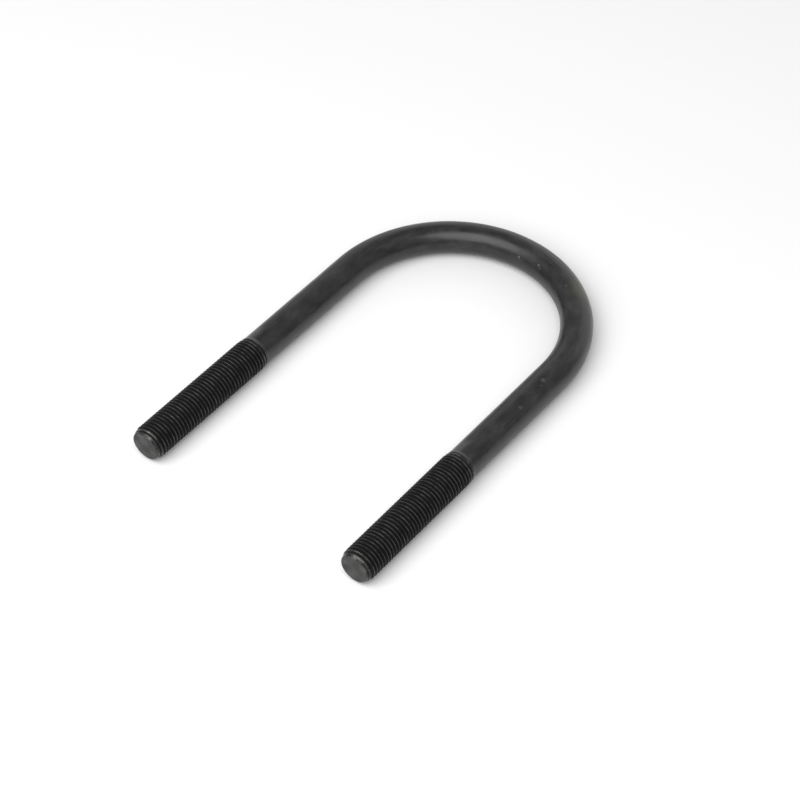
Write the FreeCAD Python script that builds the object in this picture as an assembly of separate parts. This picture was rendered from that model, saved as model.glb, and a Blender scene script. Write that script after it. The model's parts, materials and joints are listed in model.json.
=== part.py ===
"""U-bolt: one round steel bar, both ends rolled with a right-hand thread and bent into a U.

Millimetres. The U lies flat in the XY plane with +Z up. The origin is the centre of the bow,
which is where the axis of the clamped pipe passes. The legs point along -Y.
"""
import FreeCAD, Part
import math
import os

# ---- driving dimensions -------------------------------------------------------------------
inside_width = 68.3            # clear gap between the two plain shanks
inside_height = 130.8          # leg tips to the inside of the bow
shank_diameter = 10.2          # plain bar, which is the blank that the thread is rolled on
thread_major_diameter = 11.05  # over the thread crests, 7/16 inch nominal
thread_pitch = 1.27            # 20 threads per inch
thread_flank_angle = 60.0      # between the two flanks of one groove, degrees
thread_length = 50.8           # leg tip to the end of the run-out
thread_start_angle = 180.0     # where the groove leaves the tip, degrees from the outer side
shoulder_length = 3.2          # length over which the crests rise out of the shank
groove_run_out_turns = 2.0     # turns over which the groove climbs out of the bar
point_length = 2.3             # taper at the leg tip
point_above_root = 0.1         # the taper ends this much outside the thread root
end_chamfer = 0.4              # broken edge of the flat end, 45 degrees

# ---- worked out from them -----------------------------------------------------------------
shank_radius = shank_diameter / 2
crest_radius = thread_major_diameter / 2
bend_radius = inside_width / 2 + shank_radius
leg_length = inside_height - inside_width / 2
thread_start = leg_length - thread_length
full_crest_start = thread_start + shoulder_length

flank_slope = math.tan(math.radians(thread_flank_angle / 2))
sharp_v_depth = thread_pitch / 2 / flank_slope
crest_flat = thread_pitch / 8
root_flat = thread_pitch / 8
groove_depth = sharp_v_depth * (1 - (crest_flat + root_flat) / thread_pitch)
root_radius = crest_radius - groove_depth
point_radius = root_radius + point_above_root

groove_run_out = groove_run_out_turns * thread_pitch
groove_full_depth_start = thread_start + groove_run_out
turns_to_tip = (leg_length - groove_full_depth_start) / thread_pitch
start_angle = thread_start_angle - 360 * turns_to_tip
cutter_overhang = thread_pitch / 4   # how far the groove cutter stands outside the crests

x_axis = FreeCAD.Vector(1, 0, 0)
y_axis = FreeCAD.Vector(0, 1, 0)
z_axis = FreeCAD.Vector(0, 0, 1)
origin = FreeCAD.Vector(0, 0, 0)


def leg_blank():
    """One straight leg before its groove is cut, on +Z from the bend at z = 0 to the tip."""
    outline = [
        (0, 0),
        (shank_radius, 0),
        (shank_radius, thread_start),
        (crest_radius, full_crest_start),
        (crest_radius, leg_length - point_length),
        (point_radius, leg_length - end_chamfer),
        (point_radius - end_chamfer, leg_length),
        (0, leg_length),
    ]
    corners = [FreeCAD.Vector(radius, 0, height) for radius, height in outline]
    half_section = Part.Face(Part.makePolygon(corners + corners[:1]))
    return half_section.revolve(origin, z_axis, 360)


def groove_section():
    """The groove's trapezoid in the XZ plane, centred on z = 0."""
    cutter_radius = crest_radius + cutter_overhang
    half_root = root_flat / 2
    half_mouth = half_root + (cutter_radius - root_radius) * flank_slope
    corners = [
        FreeCAD.Vector(root_radius, 0, -half_root),
        FreeCAD.Vector(cutter_radius, 0, -half_mouth),
        FreeCAD.Vector(cutter_radius, 0, half_mouth),
        FreeCAD.Vector(root_radius, 0, half_root),
    ]
    return Part.makePolygon(corners + corners[:1])


def swept_groove(path):
    """The groove's section carried along a helix that starts in the XZ plane."""
    sweep = Part.BRepOffsetAPI.MakePipeShell(path)
    sweep.setFrenetMode(True)
    sweep.add(groove_section())
    sweep.build()
    sweep.makeSolid()
    return sweep.shape()


def groove_cutters():
    """Right-hand groove of full depth up to the tip, and its run-out towards the shank."""
    full_depth_length = leg_length + thread_pitch - groove_full_depth_start
    path = Part.makeLongHelix(thread_pitch, full_depth_length, crest_radius, 0, False)
    full_depth = swept_groove(Part.Wire(path.Edges))

    climb_angle = math.degrees(math.atan(groove_depth / groove_run_out))
    path = Part.makeLongHelix(thread_pitch, groove_run_out, crest_radius, climb_angle, False)
    path.rotate(origin, x_axis, 180)
    run_out = swept_groove(Part.Wire(path.Edges))

    cutters = [full_depth, run_out]
    for cutter in cutters:
        cutter.rotate(origin, z_axis, start_angle)
        cutter.translate(z_axis * groove_full_depth_start)
    return cutters


def threaded_leg():
    """One leg with its thread, turned to point along -Y from the end of the bow at +X."""
    leg = leg_blank()
    for cutter in groove_cutters():
        leg = leg.cut(cutter)
    leg.rotate(origin, x_axis, 90)
    leg.translate(x_axis * bend_radius)
    return leg


def bow():
    """The half-round bend between the legs."""
    section = Part.Face(Part.Wire(Part.makeCircle(shank_radius, x_axis * bend_radius, y_axis)))
    return section.revolve(origin, z_axis, 180)


def u_bolt():
    """The whole bar. The second leg is the first turned round, so both threads are right-hand."""
    right_leg = threaded_leg()
    left_leg = right_leg.copy()
    left_leg.rotate(origin, y_axis, 180)
    bar = bow().fuse([right_leg, left_leg])
    return bar.Solids[0]


os.makedirs("parts", exist_ok=True)
u_bolt().exportStep("parts/u_bolt.step")
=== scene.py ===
import bpy
import json
from math import atan2, ceil, cos, hypot, pi, radians, sin, sqrt, tan
from mathutils import Matrix, Vector


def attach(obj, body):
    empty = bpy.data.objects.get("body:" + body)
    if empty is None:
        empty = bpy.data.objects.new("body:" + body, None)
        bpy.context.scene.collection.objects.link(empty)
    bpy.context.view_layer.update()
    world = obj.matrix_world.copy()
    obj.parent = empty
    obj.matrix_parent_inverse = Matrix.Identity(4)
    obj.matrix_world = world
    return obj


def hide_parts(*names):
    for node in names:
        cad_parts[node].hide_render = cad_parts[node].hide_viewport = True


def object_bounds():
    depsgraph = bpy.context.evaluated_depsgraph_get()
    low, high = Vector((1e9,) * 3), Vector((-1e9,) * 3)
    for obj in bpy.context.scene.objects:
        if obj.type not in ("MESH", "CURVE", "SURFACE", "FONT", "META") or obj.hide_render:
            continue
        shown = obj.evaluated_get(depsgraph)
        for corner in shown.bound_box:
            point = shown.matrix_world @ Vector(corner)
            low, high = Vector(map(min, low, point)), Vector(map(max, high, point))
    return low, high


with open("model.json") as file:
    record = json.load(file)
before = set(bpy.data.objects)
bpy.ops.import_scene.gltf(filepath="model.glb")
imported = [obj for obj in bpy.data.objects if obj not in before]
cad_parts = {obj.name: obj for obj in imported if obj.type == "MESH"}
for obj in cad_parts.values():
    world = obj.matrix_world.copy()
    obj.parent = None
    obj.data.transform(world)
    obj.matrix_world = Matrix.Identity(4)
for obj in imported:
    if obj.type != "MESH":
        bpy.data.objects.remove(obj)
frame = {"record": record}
cadLow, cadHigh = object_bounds()
mm = 0.001
hair = 0.001 * mm                   # vertices this near to a height are on its ring
mergeGap = 0.002 * mm
mounts = {mount["name"]: mount for mount in frame["record"]["mounts"]}
legSpacing = mounts["legs"]["dims"]["spacing_x_mm"] * mm
print("frame loaded")


def pickNothing():
    if bpy.context.mode != "OBJECT":
        bpy.ops.object.mode_set(mode="OBJECT")
    bpy.ops.object.select_all(action="DESELECT")


def pickOnly(piece):
    pickNothing()
    piece.select_set(True)
    bpy.context.view_layer.objects.active = piece


def pickVerts(piece, test):
    # leaves edit mode on, with only the vertices that pass the test selected
    pickOnly(piece)
    bpy.ops.object.mode_set(mode="EDIT")
    bpy.ops.mesh.select_mode(type="VERT")
    bpy.ops.mesh.select_all(action="DESELECT")
    bpy.ops.object.mode_set(mode="OBJECT")
    for vert in piece.data.vertices:
        vert.select = test(vert.co)
    bpy.ops.object.mode_set(mode="EDIT")


def pickAll(piece):
    pickVerts(piece, lambda co: True)


def moveVerts(piece, mover):
    pickNothing()
    for vert in piece.data.vertices:
        vert.co = mover(vert.co)
    piece.data.update()


def applyAll(piece):
    pickOnly(piece)
    for modifier in list(piece.modifiers):
        bpy.ops.object.modifier_apply(modifier=modifier.name)


# the bar and its rolled thread, metres and degrees
bar = {
    "shankRadius": 5.1 * mm,                        # plain bar, the blank that the thread is rolled on
    "bendRadius": legSpacing / 2,
    "crestRadius": cadHigh.z - hair,                # the thread stands highest, just inside the CAD box
    "legLength": -cadLow.y,                         # from the bow's centre to the leg tip
    "pitch": 1.27 * mm,                             # 20 turns to the inch, right hand
    "halfFlank": 30,                                # between one flank and a plane across the bar
    "flatShare": 1 / 8,                             # of the pitch, on the crest and at the root
    "threadLength": 50.8 * mm,
    "shoulder": 3.2 * mm,                           # length over which the crests rise out of the shank
    "runOutTurns": 2,                               # turns over which the groove climbs out
    "point": 2.3 * mm,                              # taper at the tip
    "pointAboveRoot": 0.1 * mm,                     # the taper ends this much outside the root
    "startAngle": 180,                              # where the groove leaves the tip, from the outer side
    "crestRound": 0.13 * mm,                        # radius of the crest's two corners
    "crestDepth": 0.07 * mm,                        # how far down from the crest the dies burnished it
    "rimRound": 0.4 * mm,                           # broken edge of the flat end
    # half of a groove's outline, from the middle of the crest down to the root, in pitches
    "outline": (0.5, 0.474, 0.45, 0.427, 0.405, 0.21, 0.0938, 0.054),
    "plainTurns": 0.4,                              # the leg's mesh starts this far before the thread
    "spareTurns": 2.5,                              # turns drawn beyond the thread and then cut off
    "around": 64,                                   # faces round the bar
    "rimSteps": 5,
    "endRings": (0.985, 0.7, 0.35, 0.08),           # rings on the flat end, as shares of its radius
    "shankSteps": 12,
    "bowSteps": 96,
    "smoothAngle": 40,                              # sharper edges than this stay crisp
}
flankTan = tan(radians(bar["halfFlank"]))
flankSin = sin(radians(bar["halfFlank"]))
flankCos = cos(radians(bar["halfFlank"]))
flat = bar["pitch"] * bar["flatShare"]
grooveDepth = bar["pitch"] / 2 / flankTan * (1 - 2 * bar["flatShare"])
rootRadius = bar["crestRadius"] - grooveDepth
rootRound = flat / 2 / flankTan * flankSin / (1 - flankSin)   # touches both flanks and the root line
tipRadius = rootRadius + bar["pointAboveRoot"]
threadStart = bar["legLength"] - bar["threadLength"]
plainEnd = threadStart - bar["plainTurns"] * bar["pitch"]
rimStart = bar["legLength"] - bar["rimRound"]
crestOverShank = bar["crestRadius"] - bar["shankRadius"]
crestRise = crestOverShank / bar["shoulder"]
grooveFall = grooveDepth / bar["runOutTurns"] / bar["pitch"]
firstGroove = threadStart + crestOverShank / (crestRise + grooveFall)   # its first bite, into the shoulder
grooveAtOuter = bar["legLength"] - bar["pitch"] * bar["startAngle"] / 360   # its middle, on the outer side


def grooveRadius(across):
    # radius of the rolled thread, this far along the bar from the middle of the groove
    across = abs(across)
    crestCorner = bar["pitch"] / 2 - flat / 2
    crestSide = bar["crestRound"] * tan(radians((90 - bar["halfFlank"]) / 2))
    if across <= rootRound * flankCos:
        return rootRadius + rootRound - sqrt(rootRound ** 2 - across ** 2)
    if across <= crestCorner - crestSide * flankSin:
        return rootRadius + (across - flat / 2) / flankTan
    if across < crestCorner + crestSide:
        short = crestCorner + crestSide - across
        return bar["crestRadius"] - bar["crestRound"] + sqrt(bar["crestRound"] ** 2 - short ** 2)
    return bar["crestRadius"]


def ramp(value, start, end):
    return min(max((value - start) / (end - start), 0), 1)


def blankRadius(along):
    # the turned outline that cuts the crests off: shank, shoulder, full thread, point
    rise = ramp(along, threadStart, threadStart + bar["shoulder"])
    fall = ramp(along, bar["legLength"] - bar["point"], rimStart)
    return bar["shankRadius"] + rise * crestOverShank - fall * (bar["crestRadius"] - tipRadius)


def grooveFloor(along):
    # the groove goes no deeper than this while it climbs out of the bar
    climb = 1 - ramp(along, threadStart, threadStart + bar["runOutTurns"] * bar["pitch"])
    return rootRadius + climb * grooveDepth


def rolled(co):
    # puts a vertex of the leg on the rolled surface, straight in or out from the axis
    angle = atan2(co.y, co.x)
    turn = (co.z - grooveAtOuter) / bar["pitch"] - angle / (2 * pi)
    across = (turn - round(turn)) * bar["pitch"]
    radius = min(max(grooveRadius(across), grooveFloor(co.z)), blankRadius(co.z))
    return Vector((radius * cos(angle), radius * sin(angle), co.z))


def snapRing(piece, along):
    # puts the ring's vertices on the regular columns, and joins those that meet
    step = 2 * pi / bar["around"]

    def snapped(co):
        if abs(co.z - along) > hair:
            return co
        angle = round(atan2(co.y, co.x) / step) * step
        radius = hypot(co.x, co.y)
        return Vector((radius * cos(angle), radius * sin(angle), along))

    moveVerts(piece, snapped)
    pickAll(piece)
    bpy.ops.mesh.remove_doubles(threshold=mergeGap)
    bpy.ops.object.mode_set(mode="OBJECT")


def cutAt(piece, along, keep):
    # saws straight across the leg; keep is "all", "above" or "below"
    pickAll(piece)
    bpy.ops.mesh.bisect(
        plane_co=(0, 0, along),
        plane_no=(0, 0, 1),
        clear_inner=keep == "above",
        clear_outer=keep == "below",
        threshold=0.0001 * mm,
    )
    bpy.ops.object.mode_set(mode="OBJECT")


def threadedLeg():
    # one groove's outline, drawn point by point from the middle of one crest to the next, then screwed
    pitch = bar["pitch"]
    outline = [-share for share in bar["outline"]] + [0] + list(reversed(bar["outline"]))
    turnsDown = ceil((bar["threadLength"] + bar["spareTurns"] * pitch) / pitch)
    lowest = grooveAtOuter - turnsDown * pitch
    points = [(grooveRadius(share * pitch), lowest + share * pitch) for share in outline]
    bpy.ops.mesh.primitive_plane_add(size=mm, location=(0, 0, 0))
    leg = bpy.context.object
    leg.name = "leg"
    pickAll(leg)
    bpy.ops.mesh.merge(type="CENTER")
    bpy.ops.transform.translate(value=(points[0][0], 0, points[0][1]))
    for before, after in zip(points, points[1:]):
        step = (after[0] - before[0], 0, after[1] - before[1])
        bpy.ops.mesh.extrude_region_move(TRANSFORM_OT_translate={"value": step})
    bpy.ops.object.mode_set(mode="OBJECT")
    screw = leg.modifiers.new("rolling", "SCREW")
    screw.axis = "Z"
    screw.angle = 2 * pi
    screw.screw_offset = pitch
    screw.iterations = turnsDown + 2
    screw.steps = bar["around"]
    screw.render_steps = bar["around"]
    screw.use_merge_vertices = False
    applyAll(leg)
    pickAll(leg)
    bpy.ops.mesh.remove_doubles(threshold=mergeGap)
    bpy.ops.object.mode_set(mode="OBJECT")
    return leg


leg = threadedLeg()
print("leg grid", len(leg.data.vertices), "verts", len(leg.data.polygons), "faces")
cutAt(leg, plainEnd, "above")
cutAt(leg, threadStart, "all")
cutAt(leg, firstGroove, "all")
cutAt(leg, rimStart, "below")
snapRing(leg, plainEnd)
snapRing(leg, rimStart)
moveVerts(leg, rolled)
print("leg shaped", len(leg.data.vertices), "verts", len(leg.data.polygons), "faces")

# the rounded rim and the sheared end face
pickVerts(leg, lambda co: abs(co.z - rimStart) < hair)
ringNow = rimStart
radiusNow = tipRadius
for step in range(1, bar["rimSteps"] + 1):
    turn = radians(90 * step / bar["rimSteps"])
    ringNext = rimStart + bar["rimRound"] * sin(turn)
    radiusNext = tipRadius - bar["rimRound"] * (1 - cos(turn))
    bpy.ops.mesh.extrude_region_move(TRANSFORM_OT_translate={"value": (0, 0, ringNext - ringNow)})
    shrink = radiusNext / radiusNow
    bpy.ops.transform.resize(value=(shrink, shrink, 1), center_override=(0, 0, ringNext))
    ringNow, radiusNow = ringNext, radiusNext
for share in bar["endRings"]:
    bpy.ops.mesh.extrude_region_move(TRANSFORM_OT_translate={"value": (0, 0, 0)})
    shrink = share * radiusNext / radiusNow
    bpy.ops.transform.resize(value=(shrink, shrink, 1), center_override=(0, 0, ringNow))
    radiusNow = share * radiusNext
bpy.ops.mesh.edge_face_add()
bpy.ops.object.mode_set(mode="OBJECT")
print("tip closed", len(leg.data.vertices), "verts", len(leg.data.polygons), "faces")

# leg laid down along -Y, to the right of the bow's centre, and its copy turned over to the left
lay = Matrix.Translation((bar["bendRadius"], 0, 0)) @ Matrix.Rotation(radians(90), 4, "X")
leg.data.transform(lay)
otherLeg = leg.copy()
otherLeg.data = leg.data.copy()
bpy.context.collection.objects.link(otherLeg)
otherLeg.data.transform(Matrix.Rotation(pi, 4, "Y"))

# the plain shanks and the bow between them, from one ring
bpy.ops.mesh.primitive_circle_add(
    vertices=bar["around"],
    radius=bar["shankRadius"],
    location=(bar["bendRadius"], -plainEnd, 0),
    rotation=(radians(90), 0, 0),
)
uBolt = bpy.context.object
uBolt.name = "uBolt"
pickOnly(uBolt)
bpy.ops.object.transform_apply(location=True, rotation=True, scale=True)
shankStep = plainEnd / bar["shankSteps"]
pickAll(uBolt)
for step in range(bar["shankSteps"]):
    bpy.ops.mesh.extrude_region_move(TRANSFORM_OT_translate={"value": (0, shankStep, 0)})
bpy.ops.mesh.spin(steps=bar["bowSteps"], angle=-pi, center=(0, 0, 0), axis=(0, 0, 1))
bpy.ops.object.mode_set(mode="OBJECT")
print("bow spun", len(uBolt.data.vertices), "verts")
pickVerts(uBolt, lambda co: co.x < 0 and abs(co.y) < hair)
for step in range(bar["shankSteps"]):
    bpy.ops.mesh.extrude_region_move(TRANSFORM_OT_translate={"value": (0, -shankStep, 0)})
bpy.ops.object.mode_set(mode="OBJECT")
pickOnly(uBolt)
leg.select_set(True)
otherLeg.select_set(True)
bpy.ops.object.join()
pickAll(uBolt)
bpy.ops.mesh.remove_doubles(threshold=mergeGap)
bpy.ops.mesh.normals_make_consistent(inside=False)
bpy.ops.object.mode_set(mode="OBJECT")
print("bar joined", len(uBolt.data.vertices), "verts", len(uBolt.data.polygons), "faces")
pickOnly(uBolt)
bpy.ops.object.shade_smooth_by_angle(angle=radians(bar["smoothAngle"]))
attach(uBolt, "root")
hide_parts("u_bolt")


def drawnOut(co):
    # the same point on the bar before it was bent: outward, up, and along from the bow's middle
    quarter = pi / 2 * bar["bendRadius"]
    if co.y < 0:
        side = 1 if co.x > 0 else -1
        return Vector((abs(co.x) - bar["bendRadius"], co.z, side * (quarter - co.y))) / mm
    turn = atan2(co.x, co.y)
    return Vector((hypot(co.x, co.y) - bar["bendRadius"], co.z, turn * bar["bendRadius"])) / mm


# the patterns follow the bend through straightBar, in millimetres; crestShare says how near each
# point is to the top of the thread, 0 in the groove and 1 on the crest
uBolt.data.attributes.new("straightBar", "FLOAT_VECTOR", "POINT")
uBolt.data.attributes.new("crestShare", "FLOAT", "POINT")
straightBar = uBolt.data.attributes["straightBar"].data
crestShare = uBolt.data.attributes["crestShare"].data
for vert, spot, share in zip(uBolt.data.vertices, straightBar, crestShare):
    spot.vector = drawnOut(vert.co)
    top = blankRadius(min(-vert.co.y, rimStart))
    fromAxis = hypot(spot.vector.x, spot.vector.y) * mm
    onRim = -vert.co.y > rimStart
    share.value = 1 if onRim else ramp(fromAxis, top - bar["crestDepth"], top)
bowToLeg = pi / 2 * bar["bendRadius"] / mm
threadAt = bowToLeg + firstGroove / mm              # mm along from the bow's middle
skin = bar["shankRadius"] / mm                      # the plain bar's radius in the attribute's mm


def linear(hexColour):
    # sRGB hex to the shader's linear colour
    shares = [int(hexColour[place:place + 2], 16) / 255 for place in (1, 3, 5)]
    low = [share / 12.92 for share in shares]
    high = [((share + 0.055) / 1.055) ** 2.4 for share in shares]
    return [below if share <= 0.04045 else above for share, below, above in zip(shares, low, high)] + [1]


def addNode(tree, kind, settings={}, links={}):
    # settings and links go by the socket's own identifier, or by the node's setting
    node = tree.nodes.new(kind)
    for name, value in settings.items():
        if hasattr(node, name):
            setattr(node, name, value)
    sockets = {socket.identifier: socket for socket in node.inputs}
    for name, value in settings.items():
        if name in sockets:
            sockets[name].default_value = value
    for name, source in links.items():
        tree.links.new(source, sockets[name])
    return node


def newMaterial(name):
    material = bpy.data.materials.new(name)
    material.use_nodes = True
    material.node_tree.nodes.clear()
    return material


def onBar(outwardAngle, along):
    # a place on the plain bar's skin, in the attribute's millimetres; 0 degrees is outward, 90 is up
    turn = radians(outwardAngle)
    return (skin * cos(turn), skin * sin(turn), along)


# Mild steel bar, cold drawn, bent cold and blackened in a hot salt bath. The film is thin and
# waxed: a grey-black satin gloss, cloudy in patches of a few millimetres, with the drawing lines
# still showing along it, slow waves that break up the reflections, and a few handling nicks. It is
# scuffed to a dull grey behind each thread, and has one dull olive bloom of salt outside the bow.
shankLook = {
    "film": "#1d1d1e",
    "filmThick": "#121213",
    "filmThin": "#2c2c2b",
    "rubbed": "#4b4b49",
    "scuffed": "#575755",
    "bareSteel": "#6f6e6b",
    "olive": "#45452f",
    "roughness": (0.27, 0.44),
    "waveSize": 6.0,                # mm, ripple left by the drawing and the bending roll
    "waveHeight": 0.12 * mm,
    "cloudSize": 3.0,
    "cloudStretch": 0.45,           # a cloud is this share as wide as it is long
    "cloudThick": (0.32, 0.52),     # cloud values between which the thick film gives way
    "cloudThin": (0.5, 0.75),       # and between which it wears thin
    "cloudGloss": (0.3, 0.7),       # and between which the gloss goes from smooth to rough
    "lineWide": 0.35,               # mm, real lines are 0.05 wide, drawn coarser so that they show
    "lineLong": 12.0,
    "lineHeight": 0.006 * mm,
    "lineSeen": (0.6, 0.8, 0.35),   # line values between which the film is rubbed, and how much
    "grainSize": 0.4,               # mm, real etch grain is 0.03, drawn coarser so that it shows
    "grainHeight": 0.006 * mm,
    "oliveAt": (38, 27, 6.5),       # degrees round, mm along, mm across the patch
    "oliveCore": 0.3,               # share of it that is full strength
    "scuffSide": 145,               # degrees round each leg, from +X, where the scuffed patch is
    "scuffReach": 8,                # mm that it reaches back from the thread
    "scuffFade": 4.5,               # mm over which it fades in
    "scuffRagged": 6.0,             # mm that the clouds push its edge about
    "scuffEdge": (55, 30),          # degrees from its side where it starts and is full
    "threadLine": 1.1,              # mm, bright line before the thread
    "threadLineEdge": (100, 60),    # degrees from the same side
    "nickCore": 0.1,                # share of a nick that is full strength
    "nickRagged": 0.9,              # mm that the grain pushes its edge about
    "nickDepth": 0.12 * mm,
    # degrees round, mm along from the bow's middle, mm across, share of bare steel
    "nicks": (
        (150, 1.5, 0.5, 0.8),
        (135, 10.2, 0.6, 0.5),
        (142, 11.4, 0.5, 0.3),
        (105, 24.5, 0.8, 0.22),
        (75, 69.0, 1.1, 0.3),
        (66, 71.0, 0.6, 0.2),
        (62, 82.0, 1.0, 0.2),
        (110, -31.0, 0.7, 0.1),
        (250, 12.0, 0.8, 0.4),
        (215, -75.0, 0.9, 0.3),
        (310, 66.0, 0.8, 0.4),
    ),
}

drawnSteel = newMaterial("blackOxideDrawnSteel")
tree = drawnSteel.node_tree
spot = addNode(tree, "ShaderNodeAttribute", {"attribute_name": "straightBar"}).outputs["Vector"]
wave = addNode(tree, "ShaderNodeTexNoise", {
    "Scale": 1 / shankLook["waveSize"],
    "Detail": 1.0,
}, {"Vector": spot}).outputs[0]
stretched = addNode(tree, "ShaderNodeMapping", {
    "Scale": (1, 1, shankLook["cloudStretch"]),
}, {"Vector": spot}).outputs[0]
cloud = addNode(tree, "ShaderNodeTexNoise", {
    "Scale": 1 / shankLook["cloudSize"],
    "Detail": 4.0,
    "Roughness": 0.6,
    "Distortion": 0.3,
}, {"Vector": stretched}).outputs[0]
alongBar = addNode(tree, "ShaderNodeMapping", {
    "Scale": (1 / shankLook["lineWide"], 1 / shankLook["lineWide"], 1 / shankLook["lineLong"]),
}, {"Vector": spot}).outputs[0]
lines = addNode(tree, "ShaderNodeTexNoise", {
    "Scale": 1.0,
    "Detail": 2.0,
}, {"Vector": alongBar}).outputs[0]
grain = addNode(tree, "ShaderNodeTexNoise", {
    "Scale": 1 / shankLook["grainSize"],
    "Detail": 2.0,
}, {"Vector": spot}).outputs[0]

# colour: thick film, film, thin film, lines rubbed on the dies, then the olive bloom
thick = addNode(tree, "ShaderNodeMapRange", {
    "interpolation_type": "SMOOTHSTEP",
    "From Min": shankLook["cloudThick"][0],
    "From Max": shankLook["cloudThick"][1],
}, {"Value": cloud}).outputs[0]
colour = addNode(tree, "ShaderNodeMix", {
    "data_type": "RGBA",
    "A_Color": linear(shankLook["filmThick"]),
    "B_Color": linear(shankLook["film"]),
}, {"Factor_Float": thick}).outputs[2]
thin = addNode(tree, "ShaderNodeMapRange", {
    "interpolation_type": "SMOOTHSTEP",
    "From Min": shankLook["cloudThin"][0],
    "From Max": shankLook["cloudThin"][1],
}, {"Value": cloud}).outputs[0]
colour = addNode(tree, "ShaderNodeMix", {
    "data_type": "RGBA",
    "B_Color": linear(shankLook["filmThin"]),
}, {"Factor_Float": thin, "A_Color": colour}).outputs[2]
lineShare = addNode(tree, "ShaderNodeMapRange", {
    "From Min": shankLook["lineSeen"][0],
    "From Max": shankLook["lineSeen"][1],
    "To Max": shankLook["lineSeen"][2],
}, {"Value": lines}).outputs[0]
colour = addNode(tree, "ShaderNodeMix", {
    "data_type": "RGBA",
    "B_Color": linear(shankLook["rubbed"]),
}, {"Factor_Float": lineShare, "A_Color": colour}).outputs[2]
oliveAngle, oliveAlong, oliveAcross = shankLook["oliveAt"]
fromOlive = addNode(tree, "ShaderNodeVectorMath", {
    "operation": "DISTANCE",
    "Vector_001": onBar(oliveAngle, oliveAlong),
}, {"Vector": spot}).outputs["Value"]
oliveShare = addNode(tree, "ShaderNodeMapRange", {
    "interpolation_type": "SMOOTHSTEP",
    "From Min": oliveAcross,
    "From Max": oliveAcross * shankLook["oliveCore"],
}, {"Value": fromOlive}).outputs[0]
oliveShare = addNode(tree, "ShaderNodeMath", {"operation": "MULTIPLY"}, {
    "Value": oliveShare,
    "Value_001": grain,
}).outputs[0]
colour = addNode(tree, "ShaderNodeMix", {
    "data_type": "RGBA",
    "B_Color": linear(shankLook["olive"]),
}, {"Factor_Float": oliveShare, "A_Color": colour}).outputs[2]

# scuffed patch behind each thread, on the side where the leg lay in the thread rolls
parts = addNode(tree, "ShaderNodeSeparateXYZ", {}, {"Vector": spot}).outputs
whichLeg = addNode(tree, "ShaderNodeMath", {"operation": "SIGN"}, {"Value": parts["Z"]}).outputs[0]
towardX = addNode(tree, "ShaderNodeMath", {"operation": "MULTIPLY"}, {
    "Value": parts["X"],
    "Value_001": whichLeg,
}).outputs[0]
towardX = addNode(tree, "ShaderNodeMath", {
    "operation": "MULTIPLY",
    "Value_001": cos(radians(shankLook["scuffSide"])),
}, {"Value": towardX}).outputs[0]
towardSide = addNode(tree, "ShaderNodeMath", {
    "operation": "MULTIPLY_ADD",
    "Value_001": sin(radians(shankLook["scuffSide"])),
}, {"Value": parts["Y"], "Value_002": towardX}).outputs[0]
scuffSide = addNode(tree, "ShaderNodeMapRange", {
    "interpolation_type": "SMOOTHSTEP",
    "From Min": skin * cos(radians(shankLook["scuffEdge"][0])),
    "From Max": skin * cos(radians(shankLook["scuffEdge"][1])),
}, {"Value": towardSide}).outputs[0]
fromBow = addNode(tree, "ShaderNodeMath", {"operation": "ABSOLUTE"}, {"Value": parts["Z"]}).outputs[0]
raggedFromBow = addNode(tree, "ShaderNodeMath", {
    "operation": "MULTIPLY_ADD",
    "Value_001": shankLook["scuffRagged"],
}, {"Value": cloud, "Value_002": fromBow}).outputs[0]
scuffAt = threadAt + shankLook["scuffRagged"] / 2 - shankLook["scuffReach"]
scuffAlong = addNode(tree, "ShaderNodeMapRange", {
    "interpolation_type": "SMOOTHSTEP",
    "From Min": scuffAt,
    "From Max": scuffAt + shankLook["scuffFade"],
}, {"Value": raggedFromBow}).outputs[0]
scuff = addNode(tree, "ShaderNodeMath", {"operation": "MULTIPLY"}, {
    "Value": scuffSide,
    "Value_001": scuffAlong,
}).outputs[0]

# and a thin bright line where the thread begins, reaching further round
lineSide = addNode(tree, "ShaderNodeMapRange", {
    "interpolation_type": "SMOOTHSTEP",
    "From Min": skin * cos(radians(shankLook["threadLineEdge"][0])),
    "From Max": skin * cos(radians(shankLook["threadLineEdge"][1])),
}, {"Value": towardSide}).outputs[0]
lineAlong = addNode(tree, "ShaderNodeMapRange", {
    "interpolation_type": "SMOOTHSTEP",
    "From Min": threadAt - shankLook["threadLine"],
    "From Max": threadAt,
}, {"Value": fromBow}).outputs[0]
threadLine = addNode(tree, "ShaderNodeMath", {"operation": "MULTIPLY"}, {
    "Value": lineSide,
    "Value_001": lineAlong,
}).outputs[0]
scuff = addNode(tree, "ShaderNodeMath", {"operation": "MAXIMUM"}, {
    "Value": scuff,
    "Value_001": threadLine,
}).outputs[0]
scuff = addNode(tree, "ShaderNodeMath", {"operation": "MULTIPLY"}, {
    "Value": scuff,
    "Value_001": grain,
}).outputs[0]
colour = addNode(tree, "ShaderNodeMix", {
    "data_type": "RGBA",
    "B_Color": linear(shankLook["scuffed"]),
}, {"Factor_Float": scuff, "A_Color": colour}).outputs[2]

# relief: waves, drawing lines and grain, added up as heights in metres
relief = addNode(tree, "ShaderNodeMath", {
    "operation": "MULTIPLY",
    "Value_001": shankLook["waveHeight"],
}, {"Value": wave}).outputs[0]
relief = addNode(tree, "ShaderNodeMath", {
    "operation": "MULTIPLY_ADD",
    "Value_001": shankLook["lineHeight"],
}, {"Value": lines, "Value_002": relief}).outputs[0]
relief = addNode(tree, "ShaderNodeMath", {
    "operation": "MULTIPLY_ADD",
    "Value_001": shankLook["grainHeight"],
}, {"Value": grain, "Value_002": relief}).outputs[0]

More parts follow.
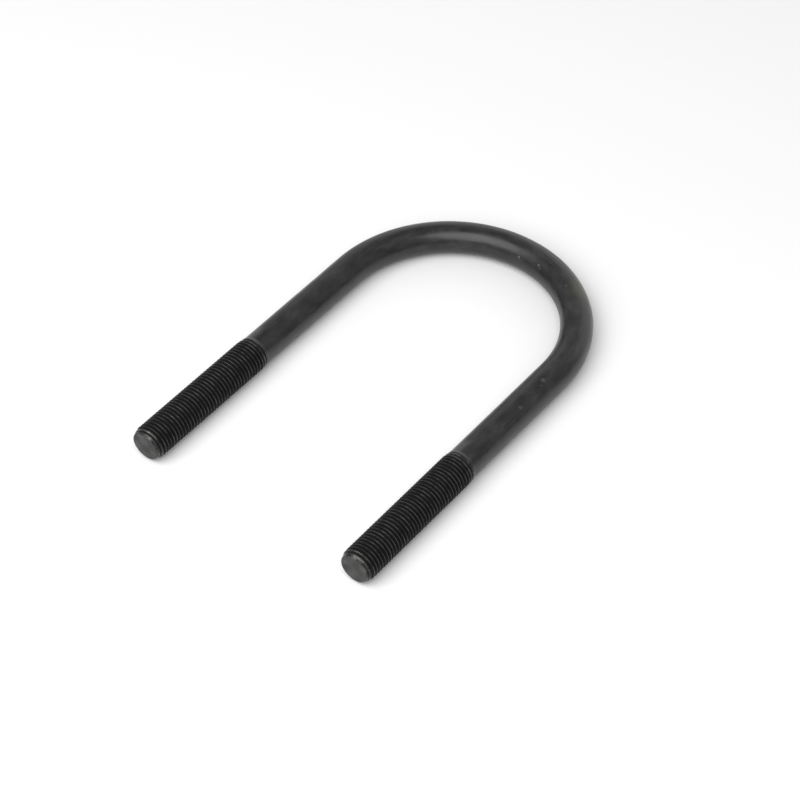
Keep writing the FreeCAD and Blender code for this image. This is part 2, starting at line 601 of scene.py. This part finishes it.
# nicks: small dents through the film, bright at the middle
for nickAngle, nickAlong, nickAcross, nickBright in shankLook["nicks"]:
    fromNick = addNode(tree, "ShaderNodeVectorMath", {
        "operation": "DISTANCE",
        "Vector_001": onBar(nickAngle, nickAlong),
    }, {"Vector": spot}).outputs["Value"]
    fromNick = addNode(tree, "ShaderNodeMath", {
        "operation": "MULTIPLY_ADD",
        "Value_001": shankLook["nickRagged"],
    }, {"Value": grain, "Value_002": fromNick}).outputs[0]
    inNick = addNode(tree, "ShaderNodeMapRange", {
        "interpolation_type": "SMOOTHSTEP",
        "From Min": nickAcross + shankLook["nickRagged"] / 2,
        "From Max": nickAcross * shankLook["nickCore"] + shankLook["nickRagged"] / 2,
        "To Max": nickBright,
    }, {"Value": fromNick}).outputs[0]
    colour = addNode(tree, "ShaderNodeMix", {
        "data_type": "RGBA",
        "B_Color": linear(shankLook["bareSteel"]),
    }, {"Factor_Float": inNick, "A_Color": colour}).outputs[2]
    relief = addNode(tree, "ShaderNodeMath", {
        "operation": "MULTIPLY_ADD",
        "Value_001": -shankLook["nickDepth"],
    }, {"Value": inNick, "Value_002": relief}).outputs[0]

gloss = addNode(tree, "ShaderNodeMapRange", {
    "From Min": shankLook["cloudGloss"][0],
    "From Max": shankLook["cloudGloss"][1],
    "To Min": shankLook["roughness"][0],
    "To Max": shankLook["roughness"][1],
}, {"Value": cloud}).outputs[0]
bumps = addNode(tree, "ShaderNodeBump", {
    "Distance": 1.0,
}, {"Height": relief}).outputs[0]
shader = addNode(tree, "ShaderNodeBsdfPrincipled", {
    "Metallic": 0.0,
    "IOR": 1.5,
}, {"Base Color": colour, "Roughness": gloss, "Normal": bumps})
addNode(tree, "ShaderNodeOutputMaterial", {}, {"Surface": shader.outputs["BSDF"]})

# The same steel where the thread was rolled, blackened with the rest. The film is thickest and oily in the
# grooves, and they are painted darker still as painted shade for their depth, so they are near black, and
# the crests are burnished, so they carry thin grey glints, brighter along the stretches that were rubbed.
threadLook = {
    "groove": "#121212",
    "filmOnCrest": "#1a1a1a",
    "crestSteel": "#656563",
    "crestMetallic": 0.95,
    "roughness": (0.55, 0.24),      # groove, crest
    "grooveSpecular": 0.14,         # oil and dust fill the film's pores
    "rubSize": 2.4,                 # mm
    "rubSeen": (0.35, 0.72),        # rub values between which the crest goes from film to steel
    "rubLeast": 0.06,               # share of steel where it wasn't rubbed
    "grainSize": 0.4,               # mm, real grain is 0.03, drawn coarser so that it shows
    "grainHeight": 0.01 * mm,
}
rolledSteel = newMaterial("blackOxideRolledThread")
tree = rolledSteel.node_tree
spot = addNode(tree, "ShaderNodeAttribute", {"attribute_name": "straightBar"}).outputs["Vector"]
crest = addNode(tree, "ShaderNodeAttribute", {"attribute_name": "crestShare"}).outputs["Fac"]
rub = addNode(tree, "ShaderNodeTexNoise", {
    "Scale": 1 / threadLook["rubSize"],
    "Detail": 3.0,
    "Roughness": 0.65,
}, {"Vector": spot}).outputs[0]
grain = addNode(tree, "ShaderNodeTexNoise", {
    "Scale": 1 / threadLook["grainSize"],
    "Detail": 2.0,
}, {"Vector": spot}).outputs[0]
# groove to crest: the grooves' darker colour is partly their oily film and partly painted shade for the
# groove's depth
colour = addNode(tree, "ShaderNodeMix", {
    "data_type": "RGBA",
    "A_Color": linear(threadLook["groove"]),
    "B_Color": linear(threadLook["filmOnCrest"]),
}, {"Factor_Float": crest}).outputs[2]
rubShare = addNode(tree, "ShaderNodeMapRange", {
    "interpolation_type": "SMOOTHSTEP",
    "From Min": threadLook["rubSeen"][0],
    "From Max": threadLook["rubSeen"][1],
    "To Min": threadLook["rubLeast"],
}, {"Value": rub}).outputs[0]
rubShare = addNode(tree, "ShaderNodeMath", {"operation": "MULTIPLY"}, {
    "Value": rubShare,
    "Value_001": crest,
}).outputs[0]
colour = addNode(tree, "ShaderNodeMix", {
    "data_type": "RGBA",
    "B_Color": linear(threadLook["crestSteel"]),
}, {"Factor_Float": rubShare, "A_Color": colour}).outputs[2]
metallic = addNode(tree, "ShaderNodeMath", {
    "operation": "MULTIPLY",
    "Value_001": threadLook["crestMetallic"],
}, {"Value": rubShare}).outputs[0]
gloss = addNode(tree, "ShaderNodeMapRange", {
    "To Min": threadLook["roughness"][0],
    "To Max": threadLook["roughness"][1],
}, {"Value": crest}).outputs[0]
relief = addNode(tree, "ShaderNodeMath", {
    "operation": "MULTIPLY",
    "Value_001": threadLook["grainHeight"],
}, {"Value": grain}).outputs[0]
bumps = addNode(tree, "ShaderNodeBump", {
    "Distance": 1.0,
}, {"Height": relief}).outputs[0]
shader = addNode(tree, "ShaderNodeBsdfPrincipled", {
    "IOR": 1.5,
    "Specular IOR Level": threadLook["grooveSpecular"],
}, {"Base Color": colour, "Metallic": metallic, "Roughness": gloss, "Normal": bumps})
addNode(tree, "ShaderNodeOutputMaterial", {}, {"Surface": shader.outputs["BSDF"]})

# Bar cut to length in a shear, then blackened: a matt, grainy grey where the steel tore, with
# faint smoother patches, lighter than the drawn skin because the rough metal scatters the light.
endLook = {
    "torn": "#2d2d2c",
    "smooth": "#363635",
    "pit": "#181818",
    "grainSize": 0.5,               # mm, real tearing is 0.1, drawn coarser so that it shows
    "grainHeight": 0.03 * mm,
    "pitSeen": (0.42, 0.25),        # grain values between which a pit darkens
    "patchSize": 3.0,
    "patchSeen": (0.35, 0.65),      # patch values between which torn turns to smooth
    "roughness": (0.5, 0.75),       # smooth, torn
    "rim": 0.01 * mm,               # the last of the rounded rim was sheared too
}
shearedSteel = newMaterial("blackOxideShearedEnd")
tree = shearedSteel.node_tree
spot = addNode(tree, "ShaderNodeAttribute", {"attribute_name": "straightBar"}).outputs["Vector"]
patch = addNode(tree, "ShaderNodeTexNoise", {
    "Scale": 1 / endLook["patchSize"],
    "Detail": 3.0,
}, {"Vector": spot}).outputs[0]
grain = addNode(tree, "ShaderNodeTexNoise", {
    "Scale": 1 / endLook["grainSize"],
    "Detail": 3.0,
    "Roughness": 0.6,
}, {"Vector": spot}).outputs[0]
patchShare = addNode(tree, "ShaderNodeMapRange", {
    "From Min": endLook["patchSeen"][0],
    "From Max": endLook["patchSeen"][1],
}, {"Value": patch}).outputs[0]
colour = addNode(tree, "ShaderNodeMix", {
    "data_type": "RGBA",
    "A_Color": linear(endLook["torn"]),
    "B_Color": linear(endLook["smooth"]),
}, {"Factor_Float": patchShare}).outputs[2]
pitShare = addNode(tree, "ShaderNodeMapRange", {
    "From Min": endLook["pitSeen"][0],
    "From Max": endLook["pitSeen"][1],
}, {"Value": grain}).outputs[0]
colour = addNode(tree, "ShaderNodeMix", {
    "data_type": "RGBA",
    "B_Color": linear(endLook["pit"]),
}, {"Factor_Float": pitShare, "A_Color": colour}).outputs[2]
gloss = addNode(tree, "ShaderNodeMapRange", {
    "To Min": endLook["roughness"][1],
    "To Max": endLook["roughness"][0],
}, {"Value": patchShare}).outputs[0]
relief = addNode(tree, "ShaderNodeMath", {
    "operation": "MULTIPLY",
    "Value_001": endLook["grainHeight"],
}, {"Value": grain}).outputs[0]
bumps = addNode(tree, "ShaderNodeBump", {
    "Distance": 1.0,
}, {"Height": relief}).outputs[0]
shader = addNode(tree, "ShaderNodeBsdfPrincipled", {
    "Metallic": 0.0,
    "IOR": 1.5,
}, {"Base Color": colour, "Roughness": gloss, "Normal": bumps})
addNode(tree, "ShaderNodeOutputMaterial", {}, {"Surface": shader.outputs["BSDF"]})

uBolt.data.materials.clear()
for finish in (drawnSteel, rolledSteel, shearedSteel):
    uBolt.data.materials.append(finish)
for face in uBolt.data.polygons:
    along = -face.center.y
    onEnd = along > bar["legLength"] - endLook["rim"]
    onThread = along > firstGroove
    face.material_index = 2 if onEnd else 1 if onThread else 0
print("finishes on", [finish.name for finish in uBolt.data.materials])

# floor, light and camera
centre = (cadLow + cadHigh) / 2


def fromSide(azimuth, elevation):
    # unit vector from the object; azimuth 0 is -Y and 90 is +X
    across = cos(radians(elevation))
    turn = radians(azimuth)
    return Vector((sin(turn) * across, -cos(turn) * across, sin(radians(elevation))))


stage = {
    "floorColour": "#f2f2f2",
    "floorRoughness": 0.9,
    "floorSize": 6,
    "world": 0.45,
    "lights": {
        # name: azimuth and elevation in degrees, distance, width and height in metres, radiance
        "softbox": (5, 55, 0.9, 1.12, 0.84, 3.3),
        "backCard": (-171, 20, 1.3, 2.2, 0.9, 0.65),
    },
}
bpy.ops.mesh.primitive_plane_add(size=stage["floorSize"], location=(0, 0, cadLow.z))
floorPlane = bpy.context.object
floorPlane.name = "floor"

# Paper off a studio roll, matt and even, so that the floor takes soft shadows and no reflection.
floorPaper = newMaterial("whitePaper")
tree = floorPaper.node_tree
shader = addNode(tree, "ShaderNodeBsdfPrincipled", {
    "Base Color": linear(stage["floorColour"]),
    "Roughness": stage["floorRoughness"],
})
addNode(tree, "ShaderNodeOutputMaterial", {}, {"Surface": shader.outputs["BSDF"]})
floorPlane.data.materials.append(floorPaper)

for name, (azimuth, elevation, distance, width, height, radiance) in stage["lights"].items():
    lampData = bpy.data.lights.new(name, "AREA")
    lampData.shape = "RECTANGLE"
    lampData.size = width
    lampData.size_y = height
    lampData.energy = radiance * pi * width * height    # watts that give this radiance
    lamp = bpy.data.objects.new(name, lampData)
    bpy.context.collection.objects.link(lamp)
    lampWay = fromSide(azimuth, elevation)
    lamp.location = centre + lampWay * distance
    lamp.rotation_euler = lampWay.to_track_quat("Z", "Y").to_euler()

world = bpy.data.worlds.new("studio")
bpy.context.scene.world = world
world.use_nodes = True
world.node_tree.nodes["Background"].inputs["Color"].default_value = (1, 1, 1, 1)
world.node_tree.nodes["Background"].inputs["Strength"].default_value = stage["world"]

shot = {
    "azimuth": 38.288,
    "elevation": 45.415,
    "roll": -0.732,
    "distance": 752.3 * mm,
    "lens": 112.41,                 # mm
    "sensor": 36,                   # mm
    "clip": (0.01, 20),
    "aim": (6.519 * mm, -33.312 * mm, -3.515 * mm),
}
cameraData = bpy.data.cameras.new("camera")
cameraData.lens = shot["lens"]
cameraData.sensor_width = shot["sensor"]
cameraData.clip_start, cameraData.clip_end = shot["clip"]
camera = bpy.data.objects.new("camera", cameraData)
bpy.context.collection.objects.link(camera)
back = fromSide(shot["azimuth"], shot["elevation"])
right = Vector((cos(radians(shot["azimuth"])), sin(radians(shot["azimuth"])), 0))
up = back.cross(right)
roll = radians(shot["roll"])
rolledRight = right * cos(roll) + up * sin(roll)
rolledUp = up * cos(roll) - right * sin(roll)
camera.location = Vector(shot["aim"]) + back * shot["distance"]
camera.rotation_euler = Matrix((rolledRight, rolledUp, back)).transposed().to_euler()
bpy.context.scene.camera = camera
bpy.context.scene.view_settings.view_transform = "Standard"
